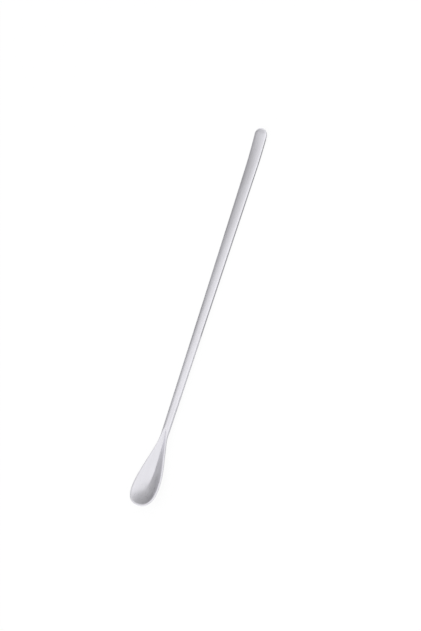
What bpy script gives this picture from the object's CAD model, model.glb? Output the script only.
import math

import bmesh
import bpy
import numpy
from mathutils import Matrix, Vector
from mathutils.geometry import interpolate_bezier


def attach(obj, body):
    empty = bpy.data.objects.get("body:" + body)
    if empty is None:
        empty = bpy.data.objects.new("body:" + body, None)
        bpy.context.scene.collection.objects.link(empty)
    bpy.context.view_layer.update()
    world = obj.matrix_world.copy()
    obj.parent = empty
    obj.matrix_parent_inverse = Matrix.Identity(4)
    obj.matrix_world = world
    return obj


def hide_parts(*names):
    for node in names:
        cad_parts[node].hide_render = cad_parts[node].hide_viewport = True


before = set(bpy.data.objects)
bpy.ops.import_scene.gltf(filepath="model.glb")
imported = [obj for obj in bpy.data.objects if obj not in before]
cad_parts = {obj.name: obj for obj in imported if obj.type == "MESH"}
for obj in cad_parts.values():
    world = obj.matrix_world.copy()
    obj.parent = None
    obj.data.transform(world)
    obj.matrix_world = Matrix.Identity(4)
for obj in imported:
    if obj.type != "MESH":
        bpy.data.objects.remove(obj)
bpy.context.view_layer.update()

# Driving dimensions, in millimetres. x runs from the tip of the bowl to the end of the handle,
# and heights are measured up from the flat back of the handle.
MM = 0.001
LENGTH = 210.0
TIP_REACH = 10.0         # from the tip to the widest place of the bowl
TIP_FULLNESS = 2.4       # 2 is an ellipse, more is blunter
BOWL_HALF_WIDTH = 8.4
NECK_HALF_WIDTH = 2.2
END_RADIUS = 3.85

RIM_FLAT = (1.0, 0.5)     # the land between the outline and the hollow, bowl and neck
RIM_CHANGES = (24.0, 35.0)
RIM_ROUNDING = 0.4
RIM_HEIGHT = (0.8, 1.15)
SHOULDER = 1.3           # rounded margin of the handle's front
SHOULDER_STARTS = (36.0, 44.0)
BACK_ROUNDING = 0.4
SIDE_SHARE = 0.5         # height of the widest level as a share of the thickness
FRONT_FLATNESS = 1.9     # 2 would be an ellipse

KEEL = 0.72              # share of a plain V in the hollow's section, the rest is a dish
KEEL_FADES = (6.0, 19.0)
DISH = 2.2
BACK_CURVE = (2.2, 1.7)  # from the bowl's belly to the neck
TIP_DEPTH = 0.55         # depth of the hollow at the very tip, as a share of its depth behind it
LIP_SOFTNESS = 0.03      # how softly the hollow leaves the land
GROOVE_POINT = 43.0      # where the hollow ends in the neck
GROOVE_SPREAD = 0.7
FRONT_BLENDS = (35.0, 45.0)

END_LIFT = 1.5
END_LIFT_FROM = 187.0

# The steel, with the size of its marks in metres, along the spoon and across it
STEEL_DARK = (0.70, 0.69, 0.727)
STEEL_LIGHT = (0.76, 0.754, 0.797)
SCRATCH_SIZE = (0.004, 0.00018)
STREAK_SIZE = (0.03, 0.0007)
CLOUD_SIZE = (0.012, 0.006)
SCRATCH_DETAIL = 2
STREAK_DETAIL = 3
CLOUD_DETAIL = 3
ROUGHNESS = 0.36
ROUGH_GRAIN = 0.3
ROUGH_CLOUD = 0.1
ROUGH_RUBBED = 0.1
WORN_WIDTH = 0.5         # millimetres of the edge that are rubbed smooth
SHADE_SPREAD = 1.2
SHADE_RUBBED = 0.4
STREAK_RELIEF = 0.3
RELIEF_STRENGTH = 0.6
RELIEF_DEPTH = 0.00002

# The studio, in metres: lamps and board hang level, turned by this many degrees on the table
LIGHT_HEIGHT = 0.3
LIGHT_TURN = 38
TENT_WHITE = 1.04
TENT_FOOT = 0.5          # the tent's wall at the table
TENT_WHITE_FROM = 0.25   # sine of the height at which it is white
SOFTBOX_REACH = 0.9
SOFTBOX_GLOW = 0.16      # added to the tent
GAP = 0.2                # between the softboxes
GAP_MIDDLE = 0.02
BOARD_EDGE = 0.1         # where the softboxes end and the board starts
BOARD_WIDTH = 5.0
BOARD_REACH = 4.0
BOARD_NEAR = 0.9         # its brightness at that edge
BOARD_FADES = 0.26       # the distance from the edge at which it is half as bright
CARD_AWAY = 0.25         # the standing card
CARD_HEIGHT = 0.12
CARD_FROM = 0.03
CARD_REACH = 2.0
CARD_GREY = 0.12
SHEET_FROM = -0.01       # the flat card, from beside the neck to beside the handle's end
SHEET_TO = 0.1
SHEET_LIFT = 0.0001
SHEET_GREY = 0.42
END_CARD_AT = 0.12       # the pale card past the handle's end
END_CARD_SIDES = (-0.05, 0.2)
END_CARD_HEIGHT = 0.025
END_CARD_GREY = 1.1
FLOOR_REACH = 4.0
PAPER_GREY = 0.72
PAPER_ROUGHNESS = 0.9
WHITE_TO_CAMERA = 0.9
WHITE_IN_MIRROR = 0.05
WHITE_STRENGTH = 1.03    # with the share of grey paper this comes to white

# The camera, in degrees and millimetres
CAMERA_OFF_TOP = 35.0    # off square, toward the spoon's right side
CAMERA_LEAN = 17.944     # between the spoon and the picture's upright
AIM_ALONG = 107.32
AIM_ASIDE = 3.15
CAMERA_AWAY = 2500.0
CAMERA_SENSOR = 36
CAMERA_CLIP = 100
PICTURE_ROWS = 631
SPOON_ROWS = 396.65      # how many of them the spoon's length takes up, laid along them

# How finely the blank is divided
COLUMNS = 48
TIP_ROWS = 26
END_ROWS = 14
BOWL_STEP = 0.4
BOWL_ENDS_AT = 50.0
HANDLE_STEP = 1.5
LINE_STEP = 0.02
CURVE_POINTS = 400
TILT_ROUNDS = 6
FRONT_INSETS = (1, 0.93, 0.86, 0.76, 0.64, 0.5, 0.38, 0.28, 0.2, 0.13, 0.07, 0.025, 0)
BACK_INSETS = (0, 0.04, 0.15, 0.35, 0.65, 1)


def drawn_line(*places):
    """Sizes read every LINE_STEP along cubic curves, given by points and handles in turn."""
    points = [Vector((x, size, 0)) for x, size in places]
    drawn = []
    for first in range(0, len(points) - 3, 3):
        knot, handle, next_handle, next_knot = points[first:first + 4]
        drawn += interpolate_bezier(knot, handle, next_handle, next_knot, CURVE_POINTS)
    stations = numpy.arange(0, LENGTH + 2 * LINE_STEP, LINE_STEP)
    return numpy.interp(stations, [p.x for p in drawn], [p.y for p in drawn]).tolist()


def size_at(line, x):
    station = min(max(x, 0.0), LENGTH) / LINE_STEP
    before = int(station)
    return blend(line[before], line[before + 1], station - before)


def blend(low, high, share):
    return low + (high - low) * share


OUTLINE = drawn_line(
    (TIP_REACH, BOWL_HALF_WIDTH), (20.7, BOWL_HALF_WIDTH), (33.2, NECK_HALF_WIDTH),
    (40, NECK_HALF_WIDTH), (80, 2.6), (165, 3.22), (LENGTH - END_RADIUS, END_RADIUS),
)
RIM_LINE = drawn_line((0, 5), (9, 3.5), (17, 1.42), (32, 1.42), (36, 1.42), (40, 1.5), (46, 1.6))
FRONT_LINE = drawn_line((34, 2.35), (60, 2.2), (120, 2), (LENGTH, 1.75))
FLOOR_LINE = drawn_line(
    (TIP_REACH, 1.18), (12.6, 0.45), (15.2, -0.4), (20, -0.4), (24, -0.4),
    (29.5, -0.2), (34.5, 0.05), (38, 0.42), (41, 0.8), (GROOVE_POINT, 2.3),
)
BACK_LINE = drawn_line(
    (TIP_REACH, 0.05), (12.6, -0.7), (15.2, -1.5), (20, -1.5), (24, -1.5),
    (29, -1.45), (34, -1.45), (40, -1.45), (44, 0), (52, 0),
)


def smooth(x, ends):
    share = min(1.0, max(0.0, (x - ends[0]) / (ends[1] - ends[0])))
    return share * share * (3 - 2 * share)


def half_width(x):
    return size_at(OUTLINE, min(max(x, TIP_REACH), LENGTH - END_RADIUS))


def bowl_share(x):
    """0 on the handle and 1 on the bowl."""
    return 1 - smooth(x, FRONT_BLENDS)


def rim_size(sizes, x):
    """A size of the rim, which differs between bowl and neck."""
    return blend(*sizes, smooth(x, RIM_CHANGES))


def margin_at(x):
    return blend(rim_size(RIM_FLAT, x), SHOULDER, smooth(x, SHOULDER_STARTS))


def end_lift(x):
    return END_LIFT * (max(0.0, x - END_LIFT_FROM) / (LENGTH - END_LIFT_FROM)) ** 2


def edge_drop(inset, radius):
    """A quarter round: how far the surface has dropped at this depth in from the edge."""
    short = max(0.0, radius - inset)
    return radius - math.sqrt(max(0.0, radius ** 2 - short ** 2))


def handle_front(x, inset, width):
    top = size_at(FRONT_LINE, x)
    side = SIDE_SHARE * top
    across = max(0.0, 1 - inset / width)
    return side + (top - side) * math.sqrt(1 - across ** FRONT_FLATNESS)


def rim_front(x, inset):
    return size_at(RIM_LINE, x) - edge_drop(inset, RIM_ROUNDING)


def unpressed_front(x, inset, width):
    return blend(handle_front(x, inset, width), rim_front(x, inset), bowl_share(x))


def tip_share(x):
    """The bowl gets shallower from its widest place to the tip."""
    return blend(TIP_DEPTH, 1, min(1.0, x / TIP_REACH))


def hollow_depth(x, inset, width):
    if x >= GROOVE_POINT:
        return 0.0
    along = max(x, TIP_REACH)
    depth = (unpressed_front(along, width, width) - size_at(FLOOR_LINE, along)) * tip_share(x)
    reach = min(width - margin_at(x), GROOVE_SPREAD * (GROOVE_POINT - x))
    across = max(0.0, (width - inset) / reach)
    pressed = 1 - blend(across ** DISH, across, KEEL * smooth(x, KEEL_FADES))
    return depth * (pressed + math.hypot(pressed, LIP_SOFTNESS)) / 2


def front_height(x, inset, width):
    return unpressed_front(x, inset, width) - hollow_depth(x, inset, width)


def side_foot(x):
    return (size_at(RIM_LINE, x) - rim_size(RIM_HEIGHT, x)) * bowl_share(x)


def back_height(x, inset, width):
    along = max(x, TIP_REACH)
    belly = (side_foot(along) - size_at(BACK_LINE, along)) * tip_share(x)
    across = min(1.0, max(0.0, (width - inset) / (width - BACK_ROUNDING)))
    curve = blend(*BACK_CURVE, smooth(x, KEEL_FADES))
    return side_foot(x) - belly * (1 - across ** curve) + edge_drop(inset, BACK_ROUNDING)


def lay_rows():
    """(turn, x) of each row: turn runs from -1 at the tip to 0, and from 0 to 1 at the handle's end."""
    handle_end = LENGTH - END_RADIUS
    bowl_steps = round((BOWL_ENDS_AT - TIP_REACH) / BOWL_STEP)
    handle_steps = round((handle_end - BOWL_ENDS_AT) / HANDLE_STEP)
    rows = [(row / TIP_ROWS - 1, TIP_REACH) for row in range(TIP_ROWS)]
    rows += [(0, blend(TIP_REACH, BOWL_ENDS_AT, row / bowl_steps)) for row in range(bowl_steps)]
    rows += [(0, blend(BOWL_ENDS_AT, handle_end, row / handle_steps)) for row in range(handle_steps + 1)]
    rows += [(row / END_ROWS, handle_end) for row in range(1, END_ROWS + 1)]
    return rows


def ring_inset(ring, x):
    if ring < len(FRONT_INSETS):
        return FRONT_INSETS[ring] * margin_at(x)
    return BACK_INSETS[ring - len(FRONT_INSETS)] * BACK_ROUNDING


def place_in_plan(row, across, inset):
    """x, y, the half-width there and the distance in from the outline of a point of the blank."""
    turn, row_x = row
    width = half_width(row_x)
    if turn == 0:
        return row_x, (width - inset) * across, width, max(0.0, width - abs(across) * (width - inset))
    along_disc = turn * math.sqrt(1 - across ** 2 / 2)
    across_disc = across * math.sqrt(1 - turn ** 2 / 2)
    reach = math.hypot(along_disc, across_disc)
    fullness = TIP_FULLNESS if turn < 0 else 2
    length = (TIP_REACH if turn < 0 else END_RADIUS) - inset
    spread = reach / (abs(along_disc) ** fullness + abs(across_disc) ** fullness) ** (1 / fullness)
    x = row_x + length * spread * along_disc
    y = (width - inset) * spread * across_disc
    return x, y, width, max(0.0, width - reach * (width - inset))


def cut_blank(rows, rings):
    """A bar blank two units each way, its faces divided into rows, columns and rings."""
    blank = bmesh.new()
    bmesh.ops.create_grid(blank, x_segments=len(rows) - 1, y_segments=COLUMNS, size=1)
    bmesh.ops.translate(blank, verts=blank.verts[:], vec=(0, 0, 1))
    pulled = bmesh.ops.extrude_face_region(blank, geom=blank.faces[:], use_keep_orig=True)
    lower = [part for part in pulled["geom"] if isinstance(part, bmesh.types.BMVert)]
    bmesh.ops.translate(blank, verts=lower, vec=(0, 0, -2))
    upright = [e for e in blank.edges if abs(e.verts[0].co.z - e.verts[1].co.z) > 1]
    bmesh.ops.subdivide_edges(blank, edges=upright, cuts=rings - 1, use_grid_fill=True)
    return blank


def forge_spoon():
    """The blank's points moved to where the press and the grinder leave them, in millimetres."""
    rows = lay_rows()
    rings = len(FRONT_INSETS) + len(BACK_INSETS) - 1
    spoon = cut_blank(rows, rings)
    worn = spoon.verts.layers.float.new("worn_edge")
    for point in spoon.verts:
        row = rows[round((point.co.x + 1) / 2 * (len(rows) - 1))]
        ring = round((1 - point.co.z) / 2 * rings)
        x, y, width, inset = place_in_plan(row, point.co.y, ring_inset(ring, row[1]))
        surface = front_height if ring < len(FRONT_INSETS) else back_height
        point.co = (x, y, surface(x, inset, width) + end_lift(x))
        point[worn] = max(0.0, 1 - inset / WORN_WIDTH)
    bmesh.ops.recalc_face_normals(spoon, faces=spoon.faces[:])
    return spoon


def rest_tilt(spoon):
    """The spoon lies on the belly of the bowl and on the back of the handle."""
    bowl = [p.co.copy() for p in spoon.verts if p.co.x < BOWL_ENDS_AT]
    handle = [p.co.copy() for p in spoon.verts if p.co.x > LENGTH / 2]
    tilt = 0.0
    for _ in range(TILT_ROUNDS):
        def height(place):
            return place.z * math.cos(tilt) - place.x * math.sin(tilt)
        belly = min(bowl, key=height)
        heel = min(handle, key=height)
        tilt = math.atan2(heel.z - belly.z, heel.x - belly.x)
    return tilt


def lay_down(spoon):
    """Turns the spoon to its rest on the table and returns the move, from millimetres to metres."""
    turn = Matrix.Rotation(rest_tilt(spoon), 4, "Y")
    places = [turn @ p.co for p in spoon.verts]
    low = [min(p[axis] for p in places) for axis in range(3)]
    high = [max(p[axis] for p in places) for axis in range(3)]
    shift = Matrix.Translation((-(low[0] + high[0]) / 2, -(low[1] + high[1]) / 2, -low[2]))
    move = Matrix.Scale(MM, 4) @ shift @ turn
    bmesh.ops.transform(spoon, matrix=move, verts=spoon.verts[:])
    return move


def make_object(name, mesh_work):
    mesh = bpy.data.meshes.new(name)
    mesh_work.to_mesh(mesh)
    mesh_work.free()
    made = bpy.data.objects.new(name, mesh)
    bpy.context.scene.collection.objects.link(made)
    return made


def calc(tree, operation, *values):
    """The output of a Math node; each value is a number or the output of another node."""
    node = tree.nodes.new("ShaderNodeMath")
    node.operation = operation
    for socket, value in zip(node.inputs, values):
        if isinstance(value, (int, float)):
            socket.default_value = value
        else:
            tree.links.new(value, socket)
    return node.outputs[0]


def noise(tree, place, length, width, detail):
    """Noise whose marks have this length along the spoon and this width across it, around 0."""
    stretched = tree.nodes.new("ShaderNodeMapping")
    stretched.inputs["Scale"].default_value = (1 / length, 1 / width, 1 / width)
    tree.links.new(place, stretched.inputs["Vector"])
    texture = tree.nodes.new("ShaderNodeTexNoise")
    texture.inputs["Scale"].default_value = 1.0
    texture.inputs["Detail"].default_value = detail
    tree.links.new(stretched.outputs[0], texture.inputs["Vector"])
    return calc(tree, "SUBTRACT", texture.outputs[0], 0.5)


def satin_steel():
    """Steel ground along its length, a little cloudy, and rubbed smooth and bright on its edges."""
    material = bpy.data.materials.new("satin_stainless")
    material.use_nodes = True
    tree = material.node_tree
    steel = tree.nodes["Principled BSDF"]
    steel.inputs["Metallic"].default_value = 1.0
    place = tree.nodes.new("ShaderNodeTexCoord").outputs["Object"]
    scratches = noise(tree, place, *SCRATCH_SIZE, SCRATCH_DETAIL)
    streaks = noise(tree, place, *STREAK_SIZE, STREAK_DETAIL)
    clouds = noise(tree, place, *CLOUD_SIZE, CLOUD_DETAIL)
    worn = tree.nodes.new("ShaderNodeAttribute")
    worn.attribute_name = "worn_edge"
    rubbed = calc(tree, "MULTIPLY", worn.outputs["Fac"], calc(tree, "ADD", 1, clouds))

    ground = calc(tree, "ADD", scratches, streaks)
    rough = calc(tree, "MULTIPLY_ADD", ground, ROUGH_GRAIN, ROUGHNESS)
    rough = calc(tree, "MULTIPLY_ADD", clouds, ROUGH_CLOUD, rough)
    rough = calc(tree, "MULTIPLY_ADD", rubbed, -ROUGH_RUBBED, rough)
    tree.links.new(rough, steel.inputs["Roughness"])

    shade = calc(tree, "MULTIPLY_ADD", calc(tree, "ADD", streaks, clouds), SHADE_SPREAD, 0.5)
    shade = calc(tree, "MULTIPLY_ADD", rubbed, SHADE_RUBBED, shade)
    colour = tree.nodes.new("ShaderNodeMix")
    colour.data_type = "RGBA"
    colour.inputs["A"].default_value = (*STEEL_DARK, 1)
    colour.inputs["B"].default_value = (*STEEL_LIGHT, 1)
    tree.links.new(shade, colour.inputs["Factor"])
    tree.links.new(colour.outputs["Result"], steel.inputs["Base Color"])

    relief = tree.nodes.new("ShaderNodeBump")
    relief.inputs["Strength"].default_value = RELIEF_STRENGTH
    relief.inputs["Distance"].default_value = RELIEF_DEPTH
    heights = calc(tree, "MULTIPLY_ADD", streaks, STREAK_RELIEF, scratches)
    tree.links.new(heights, relief.inputs["Height"])
    tree.links.new(relief.outputs[0], steel.inputs["Normal"])
    return material


def make_sheet(name, low, high):
    """A flat sheet between two corners, level at height 0."""
    work = bmesh.new()
    bmesh.ops.create_grid(work, x_segments=1, y_segments=1, size=0.5)
    bmesh.ops.translate(work, verts=work.verts[:], vec=(0.5, 0.5, 0))
    bmesh.ops.scale(work, verts=work.verts[:], vec=(high[0] - low[0], high[1] - low[1], 1))
    bmesh.ops.translate(work, verts=work.verts[:], vec=(low[0], low[1], 0))
    return make_object(name, work)


def glowing(name):
    """A material that only glows, and its glow node."""
    material = bpy.data.materials.new(name)
    material.use_nodes = True
    nodes, links = material.node_tree.nodes, material.node_tree.links
    nodes.remove(nodes["Principled BSDF"])
    glow = nodes.new("ShaderNodeEmission")
    links.new(glow.outputs[0], nodes["Material Output"].inputs["Surface"])
    return material, glow


def only_in_mirrors(sheet):
    """The metal mirrors the sheet, and nothing else sees it."""
    sheet.visible_camera = False
    sheet.visible_diffuse = False
    sheet.visible_shadow = False


def white_floor():
    """Grey paper that the camera sees as white, with the spoon's own faint shadow."""
    floor = make_sheet("floor", (-FLOOR_REACH, -FLOOR_REACH), (FLOOR_REACH, FLOOR_REACH))
    material = bpy.data.materials.new("white_paper")
    material.use_nodes = True
    tree = material.node_tree
    nodes, links = tree.nodes, tree.links
    paper = nodes["Principled BSDF"]
    paper.inputs["Base Color"].default_value = (PAPER_GREY, PAPER_GREY, PAPER_GREY, 1)
    paper.inputs["Roughness"].default_value = PAPER_ROUGHNESS
    paper.inputs["Specular IOR Level"].default_value = 0.0
    white = nodes.new("ShaderNodeEmission")
    white.inputs["Strength"].default_value = WHITE_STRENGTH
    rays = nodes.new("ShaderNodeLightPath")
    mirrored = calc(tree, "MAXIMUM", rays.outputs["Is Glossy Ray"], rays.outputs["Is Transmission Ray"])
    seen = calc(tree, "MULTIPLY", mirrored, WHITE_IN_MIRROR)
    seen = calc(tree, "MULTIPLY_ADD", rays.outputs["Is Camera Ray"], WHITE_TO_CAMERA, seen)
    mix = nodes.new("ShaderNodeMixShader")
    links.new(seen, mix.inputs["Fac"])
    links.new(paper.outputs[0], mix.inputs[1])
    links.new(white.outputs[0], mix.inputs[2])
    links.new(mix.outputs[0], nodes["Material Output"].inputs["Surface"])
    floor.data.materials.append(material)


def far_board():
    """A grey board hung over the far side of the table, darker further away."""
    board = make_sheet("far_board", (0, -BOARD_WIDTH / 2), (BOARD_REACH, BOARD_WIDTH / 2))
    turn = Matrix.Rotation(math.radians(LIGHT_TURN), 4, "Z")
    board.data.transform(turn @ Matrix.Translation((BOARD_EDGE, 0, LIGHT_HEIGHT)))
    material, glow = glowing("grey_board")
    tree = material.node_tree
    nodes, links = tree.nodes, tree.links
    place = nodes.new("ShaderNodeTexCoord")
    turned = nodes.new("ShaderNodeMapping")
    turned.inputs["Rotation"].default_value = (0, 0, -math.radians(LIGHT_TURN))
    split = nodes.new("ShaderNodeSeparateXYZ")
    links.new(place.outputs["Object"], turned.inputs["Vector"])
    links.new(turned.outputs[0], split.inputs[0])
    away = calc(tree, "ADD", split.outputs["X"], BOARD_FADES - BOARD_EDGE)
    links.new(calc(tree, "DIVIDE", BOARD_NEAR * BOARD_FADES, away), glow.inputs["Strength"])
    board.data.materials.append(material)
    only_in_mirrors(board)


def near_cards():
    """Dark cards standing and lying on the camera's side, and a low pale one past the handle's end."""
    upright = Matrix.Translation((0, -CARD_AWAY, 0)) @ Matrix.Rotation(math.radians(90), 4, "X")
    card_for_mirrors("standing_card", (CARD_FROM, 0), (CARD_REACH, CARD_HEIGHT), upright, CARD_GREY)
    level = Matrix.Translation((0, 0, SHEET_LIFT))
    card_for_mirrors("flat_card", (SHEET_FROM, -CARD_AWAY), (SHEET_TO, 0), level, SHEET_GREY)
    across = Matrix.Translation((END_CARD_AT, 0, 0)) @ Matrix.Rotation(math.radians(90), 4, "Y")
    low = (-END_CARD_HEIGHT, END_CARD_SIDES[0])
    high = (0, END_CARD_SIDES[1])
    card_for_mirrors("end_card", low, high, across, END_CARD_GREY)


def card_for_mirrors(name, low, high, move, grey):
    """A card drawn level between two corners and then moved into its place."""
    card = make_sheet(name, low, high)
    card.data.transform(move)
    material, glow = glowing(name)
    glow.inputs["Strength"].default_value = grey
    card.data.materials.append(material)
    only_in_mirrors(card)


def softbox(name, low, high):
    """A level softbox between two corners, given across and along the turned table."""
    size = (high[0] - low[0], high[1] - low[1])
    lamp = bpy.data.lights.new(name, "AREA")
    lamp.shape = "RECTANGLE"
    lamp.size, lamp.size_y = size
    lamp.energy = SOFTBOX_GLOW * math.pi * size[0] * size[1]
    made = bpy.data.objects.new(name, lamp)
    middle = Vector(((low[0] + high[0]) / 2, (low[1] + high[1]) / 2, LIGHT_HEIGHT))
    made.location = Matrix.Rotation(math.radians(LIGHT_TURN), 3, "Z") @ middle
    made.rotation_euler = (0, 0, math.radians(LIGHT_TURN))
    made.visible_camera = False
    bpy.context.scene.collection.objects.link(made)


def studio():
    """A white tent of light with two softboxes above, one on each side of the camera."""
    scene = bpy.context.scene
    scene.view_settings.view_transform = "Standard"
    world = bpy.data.worlds.new("tent")
    scene.world = world
    world.use_nodes = True
    nodes, links = world.node_tree.nodes, world.node_tree.links
    nodes["Background"].inputs["Color"].default_value = (1, 1, 1, 1)
    direction = nodes.new("ShaderNodeTexCoord")
    split = nodes.new("ShaderNodeSeparateXYZ")
    rise = nodes.new("ShaderNodeMapRange")
    rise.interpolation_type = "SMOOTHSTEP"
    rise.inputs["From Max"].default_value = TENT_WHITE_FROM
    rise.inputs["To Min"].default_value = TENT_FOOT
    rise.inputs["To Max"].default_value = TENT_WHITE
    links.new(direction.outputs["Generated"], split.inputs[0])
    links.new(split.outputs["Z"], rise.inputs["Value"])
    links.new(rise.outputs[0], nodes["Background"].inputs["Strength"])
    softbox("softbox_left", (-SOFTBOX_REACH, GAP_MIDDLE + GAP / 2), (BOARD_EDGE, SOFTBOX_REACH))
    softbox("softbox_right", (-SOFTBOX_REACH, -SOFTBOX_REACH), (BOARD_EDGE, GAP_MIDDLE - GAP / 2))
    far_board()
    near_cards()


def set_camera(move):
    """Looks at the spoon from its right side, with the picture's up turned off the spoon's length."""
    off_top = math.radians(CAMERA_OFF_TOP)
    lean = math.radians(CAMERA_LEAN)
    back = Vector((0, -math.sin(off_top), math.cos(off_top)))
    along = Vector((1, 0, 0))
    aside = Vector((0, -math.cos(off_top), -math.sin(off_top)))
    right = along * math.sin(lean) + aside * math.cos(lean)
    up = along * math.cos(lean) - aside * math.sin(lean)
    aim = along * AIM_ALONG + aside * AIM_ASIDE
    picture_height = PICTURE_ROWS * LENGTH / SPOON_ROWS
    turn = move.to_3x3().normalized()
    camera = bpy.data.cameras.new("camera")
    camera.sensor_width = CAMERA_SENSOR
    camera.lens = CAMERA_SENSOR * CAMERA_AWAY / picture_height
    camera.clip_end = CAMERA_CLIP
    made = bpy.data.objects.new("camera", camera)
    bpy.context.scene.collection.objects.link(made)
    axes = Matrix((turn @ right, turn @ up, turn @ back)).transposed().to_4x4()
    made.matrix_world = Matrix.Translation(move @ (aim + back * CAMERA_AWAY)) @ axes
    bpy.context.scene.camera = made


work = forge_spoon()
move = lay_down(work)
spoon = make_object("spoon_forged", work)
spoon.data.shade_smooth()
spoon.data.materials.append(satin_steel())
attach(spoon, "root")
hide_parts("spoon")

white_floor()
studio()
set_camera(move)
